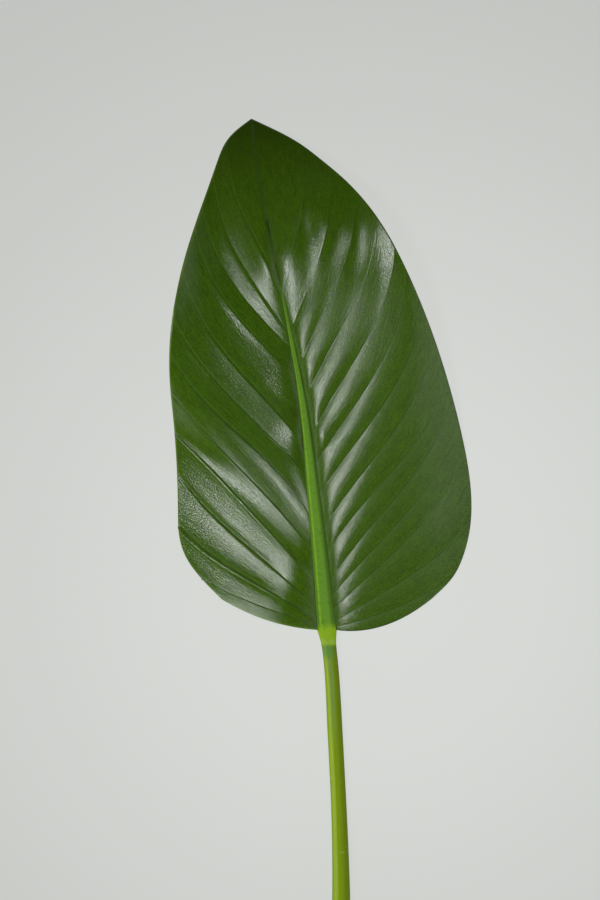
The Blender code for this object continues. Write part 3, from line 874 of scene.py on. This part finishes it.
def stalk_surface(y, turn):
    """Upright sections along the axis.

    A section is a rounded oval, a power of the cosine across and of the sine upward, with its own top,
    widest level and bottom. It has a shallow channel along its top, a bell across, and a flat where it
    would reach below the surface that it lies on.
    """
    half_width, top, widest, bottom, channel = stalk_profile(y)
    across = np.sign(np.cos(turn)) * np.abs(np.cos(turn)) ** (2 / SECTION_POWER)
    upward = np.sign(np.sin(turn)) * np.abs(np.sin(turn)) ** (2 / SECTION_POWER)
    groove = channel * np.exp(-(across / CHANNEL_REACH) ** 2) * (upward > 0)
    z = widest + np.where(upward > 0, top - widest, widest - bottom) * upward - groove
    x = axis_x(y) + half_width * across
    return np.dstack([x, np.broadcast_to(y, x.shape), np.maximum(z, 0)]), across


def stalk_finish(colours):
    """Yellow-green stalk with lengthwise streaks, a yellow joint and a bright midrib.

    The midrib has a dull left edge, a thin painted highlight beside it and painted shade on its right
    strip, is mottled, and turns dark towards its end. The joint is yellow and mottled, with a paler spot,
    bluish green just below it and brown edges. The stalk has a band of painted light on its left, a bluish
    painted sheen in its middle near the blade and painted shade, olive, on its right, with a brownish
    outline and a few pale specks painted as glints.
    """
    made = Finish("stalk and midrib", specular=0.07)
    along, across = made.value("along"), made.value("across")
    lines, fine = (made.noise(made.vector(across * across_scale, along * along_scale), 1, *rest)
                   for across_scale, along_scale, *rest in (STALK_LINES, STALK_FINE))
    grain, specks, mottle = (made.noise(made.place(), *noise)
                             for noise in (STALK_GRAIN, STALK_SPECKS, STALK_MOTTLE))
    ragged = along + (mottle - 0.5) * 6 + (fine - 0.5) * 5
    shift = across + (lines - 0.5) * 0.5
    outward = across * across
    # Painted sheen: a bluish band in the middle of the stalk near the blade
    blue_sheen = made.band(shift, (-0.55, -0.35), (0.05, 0.30)) * made.step(ragged, -75, -35)
    stalk = made.cover(
        # Painted light and shade: a lighter band on the stalk's left flank, darker olive on its right
        made.mix(made.step(shift, -0.5, 0.7), colours.stalk, colours.stalk_shaded_olive),
        (made.band(shift, (-0.85, -0.65), (-0.45, -0.25)) * 0.6, colours.stalk_lit_band),
        (made.step(outward, 0.80, 0.97) * 0.55, BROWN_OUTLINE),
        # Small pale specks painted as glints
        (made.step(specks, 0.72, 0.78) * 0.6, PAINTED_GLINT_SPECK),
        (blue_sheen * 0.45, PAINTED_SHEEN_BAND))
    rib = made.cover(
        colours.midrib,
        ((1 - made.step(across, -0.80, -0.60)) * 0.6, RIB_LEFT_EDGE),
        # Painted highlight beside the midrib's left edge, and painted shade on its right strip
        (made.band(across, (-0.72, -0.60), (-0.50, -0.38)) * 0.85, RIB_PAINTED_HIGHLIGHT),
        (made.step(across, 0.30, 0.75) * 0.75, RIB_PAINTED_SHADE_STRIP),
        (made.step(along, 120, 216) * 0.5, RIB_UPPER),
        (made.step(along, 195, 232), RIB_END),
        (made.step(mottle, 0.48, 0.70) * 0.45, RIB_MOTTLE))
    joint = made.step(along, -10, -8) * (1 - made.step(ragged, -1, 5))
    pale = made.band(along, (-9.5, -7.5), (-6.5, -4.5)) * made.step(fine, 0.3, 0.6)
    below = made.step(ragged, -20, -13) * (1 - made.step(along, -10, -8)) \
        * (1 - made.step(shift, 0.2, 0.7) * 0.7)
    brown_edge = made.step(outward, 0.86, 0.97) * made.band(along, (-30, -12), (-4, -1))
    colour = made.cover(
        made.mix(made.step(ragged, -3, 3), stalk, rib),
        (joint * 0.85, colours.joint),
        (pale * 0.5, JOINT_PALE),
        (below * 0.65, JOINT_BELOW),
        (brown_edge * 0.6, JOINT_BROWN),
        (joint * made.step(mottle, 0.50, 0.66) * 0.4, JOINT_MOTTLE),
        (made.step(fine, 0.5, 0.75) * 0.3, STALK_STREAK))
    rough = made.spread(lines, *STALK_ROUGHNESS)
    relief = made.bump(grain, STALK_GRAIN_RELIEF * MM)
    relief = made.bump(lines * 0.6 + fine * 0.4, STALK_LINE_RELIEF * MM, relief)
    return made.use(Base_Color=colour, Roughness=rough, Normal=relief)


def cut_finish():
    """Pale, moist cut through the stalk, with darker bundles."""
    made = Finish("stalk cut", roughness=0.35, specular=0.4)
    bundles = made.step(made.noise(made.place(), *CUT_NOISE), 0.5, 0.65)
    return made.use(Base_Color=made.mix(bundles * 0.7, CUT_TISSUE, CUT_BUNDLES))


class LEAF_OT_stalk(Operator):
    """Build the stalk, its joint and the midrib as one sweep."""
    bl_idname = "leaf.stalk"
    bl_label = "Stalk and midrib"

    def execute(self, context):
        colours = context.scene.leaf_colours
        y = np.unique(np.concatenate([np.linspace(*span) for span in RINGS]))[:, None]
        turn = 2 * np.pi * np.arange(RING_POINTS) / RING_POINTS
        points, across = stalk_surface(y, turn)
        rings, sides = points.shape[:2]
        lower_end = np.arange(sides)
        upper_end = np.arange((rings - 1) * sides, rings * sides)[::-1]
        sweep = grid_faces(rings, sides, flip=True, closed=True)
        values = {"along": np.broadcast_to(y, (rings, sides)),
                  "across": np.broadcast_to(across, (rings, sides))}
        finishes = [stalk_finish(colours), cut_finish()]
        piece = add_piece("leaf_stalk", points.reshape(-1, 3), [*sweep, lower_end, upper_end], finishes,
                          "petiole_midrib", values)
        piece.data.set_sharp_from_angle(angle=np.radians(SHARP_ANGLE))
        piece.data.polygons[len(sweep)].material_index = 1
        return {"FINISHED"}


def floor_finish(colours):
    """A pale floor with painted light: it glows, brightest round the lower blade, so that hardly any shadow
    shows.
    """
    made = Finish("pale surface", roughness=0.8, specular=0.1)
    middle = tuple(junction() + np.array(GLOW_MIDDLE) * MM)
    away = made.node("VectorMath", {"operation": "DISTANCE"}, {0: made.place(), 1: middle}, out="Value")
    glow = made.mix(made.step(away, *GLOW_SPAN), colours.glow, colours.glow_edge)
    return made.use(Base_Color=colours.floor, Emission_Color=glow, Emission_Strength=1.0)


def soft_light(name, place, aim, size, power):
    """A square area light that shines from place to aim."""
    light = bpy.data.lights.new(name, "AREA")
    light.size = size
    light.energy = power
    lamp = bpy.data.objects.new(name, light)
    bpy.context.scene.collection.objects.link(lamp)
    away = place - aim
    lamp.location = place
    lamp.rotation_euler = (0, np.arctan2(np.hypot(*away[:2]), away[2]), np.arctan2(away[1], away[0]))


def low_glow():
    """A world that glows low round the horizon and is dark overhead, where a glossy leaf would show it."""
    world = bpy.data.worlds.new("studio")
    world.use_nodes = True
    made = Nodes(world.node_tree)
    height = made.node("SeparateXYZ", None, {0: made.node("TexCoord", out="Generated")}, out="Z")
    sky = world.node_tree.nodes["Background"]
    made.feed(sky.inputs["Color"], SKY_WHITE)
    made.feed(sky.inputs["Strength"], 1 - made.step(height, *SKY_GLOW))
    return world


class LEAF_OT_stage(Operator):
    """Build the floor, the lights and the camera."""
    bl_idname = "leaf.stage"
    bl_label = "Stage"

    def execute(self, context):
        scene = context.scene
        floor = bpy.data.meshes.new("floor")
        corners = [(x * FLOOR_REACH, y * FLOOR_REACH, 0) for x, y in ((-1, -1), (1, -1), (1, 1), (-1, 1))]
        floor.from_pydata(corners, [], [(0, 1, 2, 3)])
        floor.materials.append(floor_finish(scene.leaf_colours))
        ground = bpy.data.objects.new("floor", floor)
        scene.collection.objects.link(ground)
        middle = junction() + np.array(PICTURE_MIDDLE) * MM
        for name, (place, size, power) in LIGHTS.items():
            soft_light(name, middle + np.array(place), middle, size, power)
        scene.world = low_glow()
        lens = bpy.data.cameras.new("camera")
        lens.lens = CAMERA_LENS
        lens.sensor_width = CAMERA_SENSOR
        camera = bpy.data.objects.new("camera", lens)
        scene.collection.objects.link(camera)
        camera.location = middle + np.array([0, 0, CAMERA_HEIGHT])
        scene.camera = camera
        scene.view_settings.view_transform = "Standard"
        return {"FINISHED"}


class LEAF_PT_panel(Panel):
    """Buttons that build each piece."""
    bl_idname = "LEAF_PT_panel"
    bl_label = "Cut foliage leaf"
    bl_space_type = "VIEW_3D"
    bl_region_type = "UI"
    bl_category = "Leaf"

    def draw(self, context):
        for settings in (context.scene.leaf_sizes, context.scene.leaf_colours):
            for key in settings.__annotations__:
                self.layout.prop(settings, key)
        for operator in OPERATORS:
            self.layout.operator(operator.bl_idname)


OPERATORS = (LEAF_OT_blade, LEAF_OT_stalk, LEAF_OT_stage)
CLASSES = (LeafSizes, LeafColours, *OPERATORS, LEAF_PT_panel)


def register():
    """Register the classes, and the sizes and colours that the scene holds."""
    for made in CLASSES:
        bpy.utils.register_class(made)
    bpy.types.Scene.leaf_sizes = PointerProperty(type=LeafSizes)
    bpy.types.Scene.leaf_colours = PointerProperty(type=LeafColours)


def unregister():
    """Take back what register did."""
    del bpy.types.Scene.leaf_sizes
    del bpy.types.Scene.leaf_colours
    for made in reversed(CLASSES):
        bpy.utils.unregister_class(made)


def main():
    register()
    bpy.ops.leaf.blade()
    bpy.ops.leaf.stalk()
    bpy.ops.leaf.stage()


if __name__ == "__main__":
    main()
